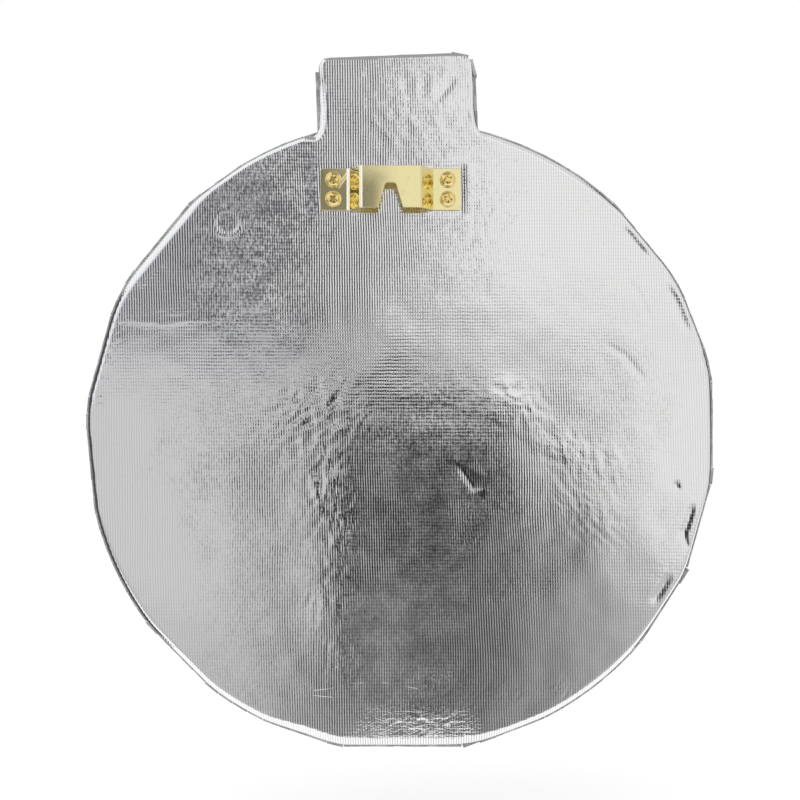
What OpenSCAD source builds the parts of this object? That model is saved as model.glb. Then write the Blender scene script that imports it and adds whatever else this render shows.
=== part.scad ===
// Flat mirrored ornament for a wall: a ball with a square neck, seen from the front as a disco ball.
// A foil-covered board carries mirror tiles on its front and rim, and a nail hanger on its back.
// +Z is up, the mirror front faces -Y, and the wall is the plane y = 0.
// The origin is the top of the hanger's notch, where the nail sits.

/* [Board] */
// Diameter of the round part of the board
ball_d = 229; // [160:1:320]
// Thickness of the board
board_t = 10; // [8.5:0.5:20]
// Radius of the board's rounded back edge
edge_r = 3; // [1:0.5:5]
// Depth of a knife cut of common size along the rim
cut_depth = 1; // [0.2:0.1:2]

/* [Neck] */
// Width of the neck
neck_w = 56; // [30:1:90]
// Height of the neck above the round part
neck_h = 24.5; // [14:0.5:50]
// Radius of the neck's top corner on the right, seen from behind
neck_r = 5.5; // [5:0.5:9]
// Radius of the neck's top corner on the left, seen from behind
neck_left_r = 3.5; // [3.5:0.5:9]
// Lean of the neck in degrees
neck_lean = 2.2; // [0:0.2:5]
// Distance of the neck's foot from the ball's centre line
neck_offset = 1.5; // [0:0.5:6]

/* [Foil cover] */
// Thickness of the foil-faced fabric
foil_t = 0.35; // [0.2:0.05:0.8]

/* [Mirror tiles] */
// Side of a square mirror tile
tile = 6; // [5:0.5:12]
// Thickness of the glass
tile_t = 1.3; // [0.8:0.1:2]
// Joint between two tiles on the front
tile_gap = 0.25; // [0.1:0.05:0.6]
// Joint between two tiles on the rim
rim_gap = 0.05; // [0.02:0.01:0.4]

/* [Hanger] */
// Length of the hanger strip from end to end
hanger_l = 51.5; // [48:0.5:80]
// Width of the hanger strip
hanger_w = 15.4; // [12:0.2:24]
// Thickness of the hanger strip
hanger_t = 0.8; // [0.5:0.1:1.5]
// Height of the bridge's outer face above the foil
hanger_rise = 8; // [5:0.5:14]
// Length of the flat bridge
bridge_l = 21.5; // [14:0.5:26]
// Length of each foot
foot_l = 10.4; // [8:0.2:12]
// Inside radius of the strip's bends
bend_r = 0.8; // [0.2:0.1:1]
// Radius of the strip's corners
foot_r = 0.8; // [0.2:0.1:2]
// Height of the notch, from its mouth up to the nail
notch_h = 9.1; // [5:0.1:11]
// Width of the notch at the nail
notch_top_w = 3.6; // [3:0.1:7]
// Width of the notch at its mouth
notch_mouth_w = 9; // [7:0.1:12]
// Radius of the notch's two top corners
notch_r = 0.9; // [0.2:0.1:1.4]
// Height of the nail above the ball's centre
nail_h = 91; // [40:1:98]
// Distance of the nail from the ball's centre line
nail_offset = 4; // [0:0.5:10]

/* [Screws] */
// Diameter of a screw's shank
screw_d = 3; // [2:0.1:4]
// Length of a screw under its head
screw_l = 8; // [5:0.5:8]
// Length of a screw's point
screw_tip = 2; // [1:0.5:3]
// Diameter of a screw's head
head_d = 6; // [4.5:0.1:6.8]
// Height of a screw's head
head_h = 2; // [1.4:0.1:2.6]
// Height of the head's straight side
head_side = 0.6; // [0.3:0.1:1]
// Length of the cross in the head
cross_l = 3.3; // [2:0.1:4]
// Width of the cross in the head
cross_w = 0.8; // [0.4:0.1:1]
// Depth of the cross in the head
cross_depth = 1.2; // [0.6:0.1:1.3]
// Distance between the two screws of one foot
screw_pitch = 7.1; // [6.9:0.1:9]
// Distance from the end of a foot to its screws
screw_inset = 4.8; // [3.5:0.1:6]
// Gap round a shank in the board and the cover
pilot_gap = 0.05; // [0.02:0.01:0.2]
// Gap round a shank in the foot
hole_gap = 0.2; // [0.1:0.05:0.4]
// Free depth of a pilot hole under the screw's point
pilot_spare = 0.4; // [0.2:0.1:0.8]

/* [Hidden] */
$fn = 48;

// Planes across the thickness
foil_y = -hanger_rise;
back_y = foil_y - foil_t;
front_y = back_y - board_t;
rim_y = front_y - tile_t;

// Centre of the ball and foot of the neck, as x and z
ball_r = ball_d / 2;
ball = [-nail_offset, -nail_h];
neck = ball + [neck_offset, ball_r];
neck_up = [sin(neck_lean), cos(neck_lean)];
neck_side = [cos(neck_lean), -sin(neck_lean)];
ball_in_neck = [(ball - neck) * neck_side, (ball - neck) * neck_up];

// Knife cuts along the rim: angle clockwise from the top as seen from behind, and depth in common cuts
cuts = [[51, 1], [69, 0.5], [90, 1.7], [106, 1.8], [123, 1], [159, 0.5], [180, 2.1], [199, 0.7],
        [225, 1.1], [264, 1.1], [285, 1.1], [309, 1.25], [324, 0.5]];
deepest_cut = max([for (c = cuts) c[1]]) * cut_depth;
bottom_cut = cuts[6][1] * cut_depth;
// Angles at which one strip of rim tiles ends and the next starts
strip_ends = [115, 169];

// Steps along the outline, round its corners and round the back edge
rim_steps = 112;
corner_steps = 5;
edge_steps = 3;
bend_steps = 4;
head_steps = 5;
// Farthest angle from a knife cut at which it can still touch the rim
cut_reach = 60;
// Smallest radius that is left of a neck corner on the inside of the rounded back edge
least_turn = 0.2;

// Points of the rim at a distance d outside the board; t is the angle clockwise seen from behind
function toward(t) = [-sin(t), cos(t)];
function cut_line(c, t, d) = (ball_r - c[1] * cut_depth + d) / cos(t - c[0]);
function near_cuts(t) = [for (c = cuts) if (abs(t - c[0]) < cut_reach) c];
function rim_radius(t, d) = min(concat([ball_r + d], [for (c = near_cuts(t)) cut_line(c, t, d)]));
function rim_point(t, d) = ball + rim_radius(t, d) * toward(t);
function rim_start(d) = asin((neck_w / 2 + d + ball_in_neck[0]) / (ball_r + d)) - neck_lean;
function rim_end(d) = 360 - asin((neck_w / 2 + d - ball_in_neck[0]) / (ball_r + d)) - neck_lean;

// Points of the neck; u runs across it and v up from its foot
function neck_point(u, v) = neck + u * neck_side + v * neck_up;
function corner_r(side) = side > 0 ? neck_left_r : neck_r;
function neck_corner(side, a, d) =
    let (r = corner_r(side), turn = max(r + d, least_turn))
    neck_point(side * (neck_w / 2 - r) + turn * cos(a), neck_h - r + turn * sin(a));

// Whole outline at a distance d outside the board
function outline(d) = concat(
    [for (i = [0:rim_steps]) rim_point(rim_start(d) + (rim_end(d) - rim_start(d)) * i / rim_steps, d)],
    [for (i = [0:corner_steps]) neck_corner(1, 90 * i / corner_steps, d)],
    [for (i = [0:corner_steps]) neck_corner(-1, 90 + 90 * i / corner_steps, d)]);

// Sections of the board's surface moved outwards by d, from the front up over the rounded back edge
function edge_section(a, d) =
    [(edge_r + d) * cos(a) - edge_r, back_y - edge_r + (edge_r + d) * sin(a)];
function sections(d) = concat(
    [[d, front_y]],
    [for (i = [0:edge_steps]) edge_section(90 * i / edge_steps, d)]);
function skin_points(d) = [for (s = sections(d)) for (p = outline(s[0])) [p[0], s[1], p[1]]];

// Triangles between neighbouring sections of n points, from number first on
function band_faces(n, first, outward) = [
    for (j = [0:edge_steps], i = [0:n - 1])
        let (a = first + j * n + i, b = first + j * n + (i + 1) % n)
        each outward ? [[a, b, b + n], [a, b + n, a + n]] : [[a, b + n, b], [a, a + n, b + n]]];
// Triangles of a flat end that fan out from its middle point to the n points from number first on
function cap_faces(n, first, middle, to_front) = [
    for (i = [0:n - 1])
        let (a = first + i, b = first + (i + 1) % n)
        to_front ? [middle, b, a] : [middle, a, b]];
function cap_middle(y) = [ball[0], y, ball[1]];

// Places of the tile rows on the front
bottom_z = ball[1] - ball_r + bottom_cut;
top_z = neck_point(neck_r - neck_w / 2, neck_h)[1];
rows = round((top_z - bottom_z) / (tile + tile_gap));
row_pitch = (top_z - bottom_z) / rows;
columns = ceil(ball_r / (tile + tile_gap));
front_reach = foil_t - tile_gap;
// Smallest share of a tile that is cut and laid, and the points across a tile that measure it
least_share = 0.35;
share_steps = 4;

function in_ball(p) =
    let (v = p - ball, t = atan2(-v[0], v[1]))
    norm(v) <= rim_radius(t < 0 ? t + 360 : t, front_reach);
function in_neck(p) =
    let (across = (p - neck) * neck_side, u = abs(across) - neck_w / 2, v = (p - neck) * neck_up,
         r = corner_r(sign(across)))
    u <= front_reach && v <= neck_h + front_reach && v > -neck_h
    && norm([max(u + r, 0), max(v - neck_h + r, 0)]) <= r + front_reach;
function inside(p) = in_ball(p) || in_neck(p);
function tile_share(x, z) =
    let (hits = [for (i = [0.5:share_steps], j = [0.5:share_steps])
                 if (inside([x + tile * i / share_steps, z + tile * j / share_steps])) 1])
    len(hits) / pow(share_steps, 2);
function whole(x, z) = min([for (i = [0, 1], j = [0, 1]) inside([x + tile * i, z + tile * j]) ? 1 : 0]) > 0;
function column_x(j) = ball[0] + j * (tile + tile_gap) + tile_gap / 2;
function row_z(i) = bottom_z + (i - 1) * row_pitch + (row_pitch - tile) / 2;

// Rim tiles: angles at which the strips start and end, and the number of tiles in a strip
strip_angles = concat([rim_start(foil_t) + tile_gap / ball_r * 180 / PI], strip_ends,
                      [rim_end(foil_t) - tile_gap / ball_r * 180 / PI]);
function strip_count(i) = floor((strip_angles[i] - strip_angles[i - 1]) * PI / 180
                                * (ball_r - deepest_cut + foil_t) / (tile + rim_gap));
// Seat of a rim tile that spans the angles from a to b: its middle point, the angle it faces and its length
seat_steps = 6;
function rim_seat(a, b) =
    let (p = rim_point(a, foil_t), q = rim_point(b, foil_t), along = (q - p) / norm(q - p),
         out = [along[1], -along[0]],
         lift = max([for (k = [0:seat_steps])
                     (rim_point(a + (b - a) * k / seat_steps, foil_t) - p) * out]))
    [(p + q) / 2 + lift * out, atan2(-out[0], out[1]), norm(q - p) - rim_gap];

// Strips of the neck: up its left side, and over its top, round the right corner and down the right side
function neck_foot(side) =
    let (across = side * (neck_w / 2 + foil_t) - ball_in_neck[0], r = ball_r + foil_t + tile_t + tile_gap)
    ball_in_neck[1] + sqrt(r * r - across * across);
neck_left = neck_h - neck_left_r - neck_foot(1);
neck_right = neck_h - neck_r - neck_foot(-1);
neck_bend = (neck_r + foil_t) * PI / 2;
neck_flat = neck_w - neck_r - neck_left_r;
neck_path = neck_flat + neck_bend + neck_right;
left_count = floor(neck_left / (tile + rim_gap));
path_count = floor(neck_path / (tile + rim_gap));
left_pitch = neck_left / left_count;
path_pitch = neck_path / path_count;
// Point and outward angle at a length s along the path over the top and down the right side
function neck_place(s) =
    let (a = s - neck_flat, b = a - neck_bend)
    a < 0 ? [neck_point(neck_w / 2 - neck_left_r - s, neck_h + foil_t), 0]
    : b < 0 ? [neck_corner(-1, 90 + 90 * a / neck_bend, foil_t), 90 * a / neck_bend]
    : [neck_point(-neck_w / 2 - foil_t, neck_h - neck_r - b), 90];

// Centre line of the bent hanger strip, as x and y, and the arcs of its bends
riser_run = (hanger_l - bridge_l) / 2 - foot_l;
strip_line = [[-hanger_l / 2, foil_y + hanger_t / 2], [-bridge_l / 2 - riser_run, foil_y + hanger_t / 2],
              [-bridge_l / 2, -hanger_t / 2], [bridge_l / 2, -hanger_t / 2],
              [bridge_l / 2 + riser_run, foil_y + hanger_t / 2], [hanger_l / 2, foil_y + hanger_t / 2]];
function unit(v) = v / norm(v);
function left_of(v) = [-v[1], v[0]];
function turned(v, a) = [v[0] * cos(a) - v[1] * sin(a), v[0] * sin(a) + v[1] * cos(a)];
// Corner at b between a and c, rounded to radius r
function round_corner(a, b, c, r, steps) =
    let (d1 = unit(b - a), d2 = unit(c - b), side = sign(left_of(d1) * d2), turn = acos(d1 * d2),
         start = b - r * tan(turn / 2) * d1, centre = start + side * r * left_of(d1))
    [for (k = [0:steps]) centre - side * r * turned(left_of(d1), side * turn * k / steps)];
// Corner i of the strip's line moved to its left by o
function strip_corner(i, o) =
    let (n1 = left_of(unit(strip_line[i] - strip_line[i - 1])),
         n2 = left_of(unit(strip_line[i + 1] - strip_line[i])))
    strip_line[i] + o * (n1 + n2) / (1 + n1 * n2);
function strip_bend_r(i, o) =
    let (d1 = strip_line[i] - strip_line[i - 1], d2 = strip_line[i + 1] - strip_line[i])
    bend_r + hanger_t / 2 - sign(left_of(d1) * d2) * o;
function strip_face(o) =
    let (last = len(strip_line) - 1, ends = [[-hanger_l / 2, foil_y + hanger_t / 2 + o],
                                            [hanger_l / 2, foil_y + hanger_t / 2 + o]],
         corners = concat([ends[0]], [for (i = [1:last - 1]) strip_corner(i, o)], [ends[1]]))
    concat([ends[0]],
           [for (i = [1:last - 1])
            each round_corner(corners[i - 1], corners[i], corners[i + 1], strip_bend_r(i, o), bend_steps)],
           [ends[1]]);
function backwards(list) = [for (i = [len(list) - 1:-1:0]) list[i]];

// Screws: x, z and turn of the cross
screw_x = hanger_l / 2 - screw_inset;
screw_z = hanger_w / 2 - notch_h;
screws = [[-screw_x, screw_z + screw_pitch / 2, 28], [-screw_x, screw_z - screw_pitch / 2, 64],
          [screw_x, screw_z + screw_pitch / 2, 40], [screw_x, screw_z - screw_pitch / 2, 12]];
screw_seat = foil_y + hanger_t;

function two_digits(i) = str(i < 10 ? "0" : "", i);
function strip_name(i) = str("rim_strip_", i);
function row_name(i) = str("mirror_row_", two_digits(i));
strips = len(strip_ends) + 1;

// Turns a flat shape in x and z into a plate that reaches from y back to y - depth
module plate(y, depth) {
    translate([0, y, 0])
        rotate([90, 0, 0])
            linear_extrude(depth)
                children();
}

// Round holes for the four screws, reaching from y to y - depth
module screw_holes(y, depth, gap) {
    for (s = screws)
        translate([s[0], y, s[1]])
            rotate([90, 0, 0])
                cylinder(d = screw_d + 2 * gap, h = depth);
}

module core_board() {
    skin = skin_points(0);
    n = len(outline(0));
    m = len(skin);
    pilot_depth = screw_l - hanger_t - foil_t + pilot_spare;
    color("burlywood")
        difference() {
            polyhedron(concat(skin, [cap_middle(front_y), cap_middle(back_y)]),
                       concat(band_faces(n, 0, true), cap_faces(n, 0, m, true),
                              cap_faces(n, m - n, m + 1, false)));
            screw_holes(back_y + foil_t, pilot_depth + foil_t, pilot_gap);
        }
}

module foil_cover() {
    outer = skin_points(foil_t);
    inner = skin_points(0);
    n = len(outline(0));
    m = len(outer);
    hem = [for (i = [0:n - 1])
           let (j = (i + 1) % n)
           each [[i, m + i, m + j], [i, m + j, j]]];
    color("silver")
        difference() {
            polyhedron(concat(outer, inner, [cap_middle(foil_y), cap_middle(back_y)]),
                       concat(band_faces(n, 0, true), cap_faces(n, m - n, 2 * m, false),
                              band_faces(n, m, false), cap_faces(n, 2 * m - n, 2 * m + 1, true), hem));
            screw_holes(foil_y + foil_t, 3 * foil_t, pilot_gap);
        }
}

// One square of mirror glass on the front, with its lower corner at x and z
module front_tile(x, z) {
    translate([x, rim_y, z])
        cube([tile, tile_t, tile]);
}

module mirror_row(i) {
    z = row_z(i);
    places = [for (j = [-columns:columns - 1]) column_x(j)];
    cut_places = [for (x = places) if (!whole(x, z) && tile_share(x, z) >= least_share) x];
    color("lightsteelblue") {
        for (x = places)
            if (whole(x, z))
                front_tile(x, z);
        if (len(cut_places) > 0)
            intersection() {
                union()
                    for (x = cut_places)
                        front_tile(x, z);
                plate(front_y + tile_t, 3 * tile_t)
                    polygon(outline(front_reach));
            }
    }
}

// One mirror tile on the rim at a point, facing the angle t, with a length along the rim
module rim_tile(point, t, length) {
    translate([point[0], rim_y, point[1]])
        rotate([0, -t, 0])
            translate([-length / 2, 0, 0])
                cube([length, tile, tile_t]);
}

module rim_strip(i) {
    step = (strip_angles[i] - strip_angles[i - 1]) / strip_count(i);
    color("lightsteelblue")
        for (k = [1:strip_count(i)]) {
            a = strip_angles[i - 1] + (k - 1) * step;
            seat = rim_seat(a, a + step);
            rim_tile(seat[0], seat[1], seat[2]);
        }
}

module neck_strip() {
    color("lightsteelblue") {
        for (k = [1:left_count])
            rim_tile(neck_point(neck_w / 2 + foil_t, neck_foot(1) + (k - 0.5) * left_pitch),
                     -90 - neck_lean, left_pitch - rim_gap);
        for (k = [1:path_count]) {
            place = neck_place((k - 0.5) * path_pitch);
            rim_tile(place[0], place[1] - neck_lean, path_pitch - rim_gap);
        }
    }
}

// Plan of the hanger: a rectangle with round corners, with its notch open at the bottom
module hanger_plan() {
    mouth = notch_mouth_w / 2;
    seat = notch_top_w / 2;
    translate([0, screw_z])
        difference() {
            union() {
                square([hanger_l - 2 * foot_r, hanger_w], center = true);
                square([hanger_l, hanger_w - 2 * foot_r], center = true);
                for (x = [-1, 1], z = [-1, 1])
                    translate([x * (hanger_l / 2 - foot_r), z * (hanger_w / 2 - foot_r)])
                        circle(r = foot_r);
            }
            translate([0, -screw_z])
                polygon(concat(
                    [[-mouth, -notch_h]],
                    round_corner([-mouth, -notch_h], [-seat, 0], [seat, 0], notch_r, bend_steps),
                    round_corner([-seat, 0], [seat, 0], [mouth, -notch_h], notch_r, bend_steps),
                    [[mouth, -notch_h], [mouth, -notch_h - hanger_t], [-mouth, -notch_h - hanger_t]]));
        }
}

module hanger() {
    color("gold")
        difference() {
            intersection() {
                translate([0, 0, -notch_h])
                    linear_extrude(hanger_w)
                        polygon(concat(strip_face(hanger_t / 2), backwards(strip_face(-hanger_t / 2))));
                plate(hanger_t, hanger_rise + 2 * hanger_t)
                    hanger_plan();
            }
            screw_holes(screw_seat + hanger_t, 3 * hanger_t, hole_gap);
        }
}

// Pan-head screw along +Z, with the underside of its head at z = 0
module pan_screw() {
    difference() {
        rotate_extrude()
            polygon(concat(
                [[0, -screw_l], [screw_d / 2, screw_tip - screw_l], [screw_d / 2, 0], [head_d / 2, 0]],
                [for (i = [0:head_steps])
                 let (a = 90 * i / head_steps)
                 [head_d / 2 * cos(a), head_side + (head_h - head_side) * sin(a)]]));
        for (a = [0, 90])
            rotate([0, 0, a])
                translate([-cross_l / 2, -cross_w / 2, head_h - cross_depth])
                    cube([cross_l, cross_w, head_h]);
    }
}

module hanger_screws() {
    color("goldenrod")
        for (s = screws)
            translate([s[0], screw_seat, s[1]])
                rotate([-90, 0, 0])
                    rotate([0, 0, s[2]])
                        pan_screw();
}

core_board();
foil_cover();
hanger();
hanger_screws();
neck_strip();
for (i = [1:strips])
    rim_strip(i);
for (i = [1:rows])
    mirror_row(i);
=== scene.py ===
"""Dresses the flat mirrored ornament: foil back, mirror tiles, brass hanger and screws."""

import math
import random

import bmesh
import bpy
import numpy as np
from bpy.props import FloatProperty, FloatVectorProperty, IntProperty, PointerProperty
from mathutils import Matrix, Vector


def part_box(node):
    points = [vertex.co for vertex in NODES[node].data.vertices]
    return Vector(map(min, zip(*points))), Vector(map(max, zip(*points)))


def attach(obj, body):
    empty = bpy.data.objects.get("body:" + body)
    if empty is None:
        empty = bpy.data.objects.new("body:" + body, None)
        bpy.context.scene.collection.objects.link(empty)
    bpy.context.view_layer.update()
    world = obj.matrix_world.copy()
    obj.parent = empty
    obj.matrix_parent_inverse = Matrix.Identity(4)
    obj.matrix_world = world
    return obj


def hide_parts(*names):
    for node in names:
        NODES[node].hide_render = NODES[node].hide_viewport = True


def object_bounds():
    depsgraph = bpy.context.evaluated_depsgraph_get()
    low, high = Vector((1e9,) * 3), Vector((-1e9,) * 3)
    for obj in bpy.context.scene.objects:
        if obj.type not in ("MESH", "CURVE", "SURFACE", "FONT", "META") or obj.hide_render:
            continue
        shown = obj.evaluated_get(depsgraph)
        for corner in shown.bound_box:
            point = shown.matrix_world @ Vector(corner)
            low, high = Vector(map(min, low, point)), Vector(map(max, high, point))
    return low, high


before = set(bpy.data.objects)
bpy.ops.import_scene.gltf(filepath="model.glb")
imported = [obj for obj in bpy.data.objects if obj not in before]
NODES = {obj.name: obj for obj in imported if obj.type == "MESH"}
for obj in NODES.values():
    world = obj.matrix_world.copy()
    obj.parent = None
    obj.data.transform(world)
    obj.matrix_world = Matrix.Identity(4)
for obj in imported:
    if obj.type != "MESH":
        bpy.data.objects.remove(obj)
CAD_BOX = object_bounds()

bl_info = {
    "name": "Flat Mirrored Ornament",
    "version": (1, 0, 0),
    "blender": (4, 5, 0),
    "location": "View3D > Sidebar > Ornament",
    "description": "Foil back, mirror tiles, brass hanger and studio for a flat mirrored ornament",
    "category": "Object",
}

MM = 0.001
BODY = "root"
FRONT_ROWS = sorted(name for name in NODES if name.startswith("mirror_row_"))
RIM_STRIPS = sorted(name for name in NODES if name.startswith("rim_strip_"))
BAKE_MAP = "OFBake"
CRUMPLED = "crumpled"


# Sizes and colours


def length(name, description, default, **limits):
    """A length in metres for the sidebar."""
    return FloatProperty(
        name=name, description=description, default=default, unit="LENGTH", precision=5, **limits
    )


def colour(name, description, default):
    """A colour for the sidebar."""
    return FloatVectorProperty(
        name=name, description=description, default=default, subtype="COLOR", size=3, min=0, max=1
    )


def share(name, description, default):
    """A number from 0 to 1 for the sidebar."""
    return FloatProperty(
        name=name, description=description, default=default, subtype="FACTOR", min=0, max=1
    )


def angle(name, description, degrees):
    """An angle for the sidebar."""
    return FloatProperty(
        name=name, description=description, default=math.radians(degrees), subtype="ANGLE"
    )


class FoilSettings(bpy.types.PropertyGroup):
    """The silver foil cloth stretched over the board's back and sides."""

    cell: length("Cell", "Spacing of the foil mesh", 0.72 * MM)
    thickness: length("Thickness", "Foil cloth with its glue", 0.35 * MM)
    roll: FloatProperty(
        name="Edge roll", description="Size of the cover's round back edge", default=1.0, min=0.2
    )
    rib_pitch: length("Rib pitch", "From one upright rib of the cloth to the next", 0.905 * MM)
    rib_height: length("Rib height", "Half of the height of an upright rib", 0.0105 * MM)
    weft_pitch: length("Weft pitch", "From one cross rib to the next", 1.25 * MM)
    weft_height: length("Weft height", "Half of the height of a cross rib", 0.0058 * MM)
    crinkle_height: length("Crinkle height", "Height of the crinkles in a crumpled patch", 0.060 * MM)
    net_height: length("Net height", "Height of the fine net at the foot", 0.013 * MM)
    hair_width: length("Hair crease width", "Half of the width of a hair-thin crease", 0.20 * MM)
    hair_height: length("Hair crease height", "Height of a hair-thin crease", 0.024 * MM)
    lean: angle("Rib lean", "Turn of the cloth on the board", 1.2)
    foot: length("Hanger foot", "Length of a foot of the hanger, which presses on the foil", 10.4 * MM)
    wrinkles: FloatProperty(name="Wrinkles", description="Height of the wrinkles", default=1.0, min=0)
    seed: IntProperty(name="Seed", description="Which wrinkles are drawn", default=7)
    silver: colour("Silver", "Metal of the foil", (0.94, 0.945, 0.95))
    roughness: share("Roughness", "Haze of the foil", 0.08)


class TileSettings(bpy.types.PropertyGroup):
    """The mirror tiles on the front and round the rim."""

    ground_edge: length("Ground edge", "Width of the ground edge of a tile", 0.12 * MM)
    tilt: angle("Tilt", "How far the glue lets a front tile lean", 0.55)
    rim_tilt: angle("Rim tilt", "How far the glue lets a rim tile lean", 1.1)
    seed: IntProperty(name="Seed", description="Which tiles lean", default=11)
    mirror: colour("Mirror", "Silvered face", (0.90, 0.92, 0.915))
    cut_glass: colour("Cut glass", "Cut edge of the glass", (0.38, 0.395, 0.39))
    backing: colour("Backing", "Paint on a tile's back", (0.30, 0.31, 0.31))


class BrassSettings(bpy.types.PropertyGroup):
    """The brass-plated hanger and its screws."""

    rounding: length("Rounding", "Radius of the stamped edges", 0.26 * MM)
    scratch_width: length("Scratch width", "Half of the width of a scratch", 0.30 * MM)
    scratch_height: length("Scratch height", "Height of a scratch", 0.05 * MM)
    recess: length("Recess", "Across the arms of a screw's cross recess", 5.2 * MM)
    recess_depth: length("Recess depth", "Depth of a screw's cross recess", 1.25 * MM)
    plate: colour("Plate", "Brass of the hanger", (0.93, 0.83, 0.45))
    screw: colour("Screw", "Brass of the screws", (0.90, 0.74, 0.34))


class BoardSettings(bpy.types.PropertyGroup):
    """The fibreboard core."""

    light: colour("Light fibre", "Lighter fibres of the board", (0.36, 0.27, 0.19))
    dark: colour("Dark fibre", "Darker fibres of the board", (0.22, 0.155, 0.10))


class StageSettings(bpy.types.PropertyGroup):
    """Camera, floor and studio cards."""

    distance: length("Camera distance", "From the camera to the rim", 0.62)
    elevation: angle("Camera elevation", "Camera's height as an angle", -2.0)
    view_width: length("View width", "Width of the picture at the rim", 0.2944)
    aim_across: length("Aim across", "Where the camera aims, from the nail", -0.00343)
    aim_up: length("Aim up", "Where the camera aims, from the nail", -0.07827)
    floor_drop: length("Floor drop", "From the ornament's lowest point down to the floor", 0.030)
    floor: colour("Floor", "Pale floor", (0.40, 0.40, 0.40))
    daylight: share("Daylight", "Light of the room on matt surfaces", 0.80)


SETTINGS = {
    "ornament_foil": FoilSettings,
    "ornament_tiles": TileSettings,
    "ornament_brass": BrassSettings,
    "ornament_board": BoardSettings,
    "ornament_stage": StageSettings,
}


# Materials


class Value:
    """A number in a material: operators between values add Math nodes."""

    def __init__(self, finish, socket):
        self.finish = finish
        self.socket = socket

    def maths(self, operation, *operands):
        return self.finish.node("ShaderNodeMath", {"operation": operation}, dict(enumerate(operands)))

    def __add__(self, other):
        return self.maths("ADD", self, other)

    __radd__ = __add__

    def __sub__(self, other):
        return self.maths("SUBTRACT", self, other)

    def __rsub__(self, other):
        return self.maths("SUBTRACT", other, self)

    def __mul__(self, other):
        return self.maths("MULTIPLY", self, other)

    __rmul__ = __mul__

    def sine(self):
        return self.maths("SINE", self)

    def folded(self):
        """Up and down in straight slopes between -1 and 1, once in every 4."""
        return self.maths("PINGPONG", self, 2.0) - 1.0

    def size(self):
        return self.maths("ABSOLUTE", self)

    def at_least(self, other):
        return self.maths("MAXIMUM", self, other)

    def rise(self, start, end):
        """0 before start, 1 after end, smooth between; start may be the larger one."""
        turned = start > end
        low, high = min(start, end), max(start, end)
        ends = (1.0, 0.0) if turned else (0.0, 1.0)
        return self.finish.node(
            "ShaderNodeMapRange",
            {"interpolation_type": "SMOOTHSTEP"},
            {0: self, 1: low, 2: high, 3: ends[0], 4: ends[1]},
        )

    def within(self, limits):
        """A rise between two limits in mm, and a fall between the next two where there are four."""
        start, full, *fall = (limit * MM for limit in limits)
        risen = self.rise(start, full)
        return risen * self.rise(fall[1], fall[0]) if fall else risen

    def towards(self, other, amount):
        """This value where the amount is 0, the other one where it is 1."""
        return self + (other - self) * amount


class Finish:
    """A procedural material, or a world, built node by node."""

    def __init__(self, name, kind="materials"):
        self.material = getattr(bpy.data, kind).new(name)
        self.material.use_nodes = True
        self.tree = self.material.node_tree
        self.tree.nodes.clear()

    def node(self, kind, settings=(), inputs=(), output=0):
        """Adds a node, sets it up, fills or links its sockets and gives one of its outputs."""
        made = self.tree.nodes.new(kind)
        for name, value in dict(settings).items():
            setattr(made, name, value)
        for key, value in dict(inputs).items():
            if isinstance(value, Value):
                self.tree.links.new(value.socket, made.inputs[key])
            else:
                made.inputs[key].default_value = value
        return Value(self, made.outputs[output]) if made.outputs else None

    def place(self):
        """Object coordinates, in metres."""
        return self.node("ShaderNodeTexCoord", output="Object")

    def axis(self, vector, letter):
        return self.node("ShaderNodeSeparateXYZ", {}, {0: vector}, output=letter)

    def stretched(self, vector, scale):
        return self.node("ShaderNodeMapping", {}, {"Vector": vector, "Scale": scale})

    def noise(self, vector, scale, detail=2.0, roughness=0.5):
        return self.node(
            "ShaderNodeTexNoise",
            {},
            {"Vector": vector, "Scale": scale, "Detail": detail, "Roughness": roughness},
            output="Fac",
        )

    def blend(self, factor, first, second):
        """A colour between two others, plain ones or blends."""
        first, second = (
            shade if isinstance(shade, Value) else (*shade, 1.0) for shade in (first, second)
        )
        return self.node("ShaderNodeMix", {"data_type": "RGBA"}, {0: factor, 6: first, 7: second}, output=2)

    def relief(self, height, distance=1.0):
        """A Normal from a height."""
        return self.node("ShaderNodeBump", {}, {"Height": height, "Distance": distance, "Strength": 1.0})

    def surface(self, **sockets):
        """The Principled surface; an underscore in a name stands for a space."""
        inputs = {}
        for name, value in sockets.items():
            plain = isinstance(value, (Value, float))
            inputs[name.replace("_", " ")] = value if plain else (*value, 1.0)
        return self.shown(self.node("ShaderNodeBsdfPrincipled", {}, inputs))

    def shown(self, shader):
        self.node("ShaderNodeOutputMaterial", {}, {"Surface": shader})
        return self.material


def tinted(shade, factor):
    """A colour made lighter or darker."""
    return tuple(min(1.0, part * factor) for part in shade)


# Scratches on the hanger's left foot in mm from the nail, to the left and up: the points of each.
SCRATCHES = (((19.9, -0.6), (15.6, 5.4)), ((19.1, -1.0), (15.4, 4.4)))
# Hair-thin creases near the foot of the foil, in the same way.
HAIR_CREASES = (
    ((27.8, -183.7), (21.9, -183.0), (14.6, -181.1), (5.4, -180.8), (-0.9, -181.1), (-9.7, -183.1)),
    ((-12.1, -191.6), (-15.5, -188.6), (-19.5, -185.5)),
    ((-2.9, -190.5), (-9.0, -192.0)),
    ((27.8, -185.5), (21.2, -186.1)),
)
# How far a scratch or a hair-thin crease runs out at its ends.
RUN_OUT = 0.3 * MM


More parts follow.
